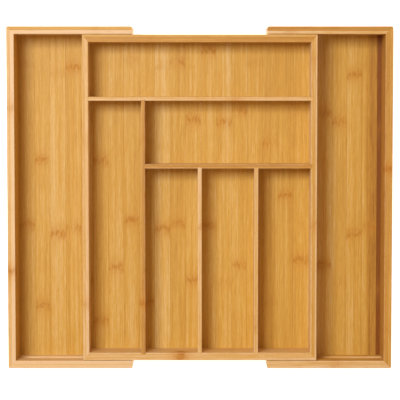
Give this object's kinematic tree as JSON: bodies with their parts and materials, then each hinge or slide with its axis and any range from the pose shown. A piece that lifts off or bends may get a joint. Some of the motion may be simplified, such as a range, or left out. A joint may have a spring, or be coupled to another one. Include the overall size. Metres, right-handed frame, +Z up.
{
  "type": "expandable cutlery tray",
  "caption": "Expandable bamboo cutlery tray: a shallow partitioned tray carried between side wings that slide out on guide grooves to widen it to fit a drawer.",
  "frame": {"origin": "on the surface that the wings stand on, under the middle of the tray", "axes": "+X right, the way the right wing slides out; +Y towards the back row; +Z up"},
  "size_m": [0.4976, 0.4428, 0.06],
  "materials": {
    "bamboo_wall": "laminated bamboo, satin clear lacquer",
    "bamboo_divider": "laminated bamboo, satin clear lacquer",
    "bamboo_floor_panel": "edge-glued bamboo strips with node marks, satin clear lacquer",
    "bamboo_guide": "bamboo, sanded smooth"
  },
  "bodies": {
    "tray": {"tray_back_wall": "bamboo_wall", "tray_front_wall": "bamboo_wall", "tray_left_wall": "bamboo_wall", "tray_right_wall": "bamboo_wall", "tray_base": "bamboo_floor_panel", "back_row_divider": "bamboo_divider", "left_column_divider": "bamboo_divider", "middle_row_divider": "bamboo_divider", "inner_column_divider_left": "bamboo_divider", "inner_column_divider_right": "bamboo_divider", "back_left_guide_tongue": "bamboo_guide", "back_right_guide_tongue": "bamboo_guide", "front_left_guide_tongue": "bamboo_guide", "front_right_guide_tongue": "bamboo_guide"},
    "left_wing": {"left_wing_outer_wall": "bamboo_wall", "left_wing_back_wall": "bamboo_wall", "left_wing_front_wall": "bamboo_wall", "left_wing_base": "bamboo_floor_panel"},
    "right_wing": {"right_wing_outer_wall": "bamboo_wall", "right_wing_back_wall": "bamboo_wall", "right_wing_front_wall": "bamboo_wall", "right_wing_base": "bamboo_floor_panel"}
  },
  "joints": [
    {"name": "left_wing_slide", "type": "slide", "parent": "tray", "child": "left_wing", "axis": [1, 0, 0], "range_m": [0, 0.0865]},
    {"name": "right_wing_slide", "type": "slide", "parent": "tray", "child": "right_wing", "axis": [-1, 0, 0], "range_m": [0, 0.0865]}
  ]
}
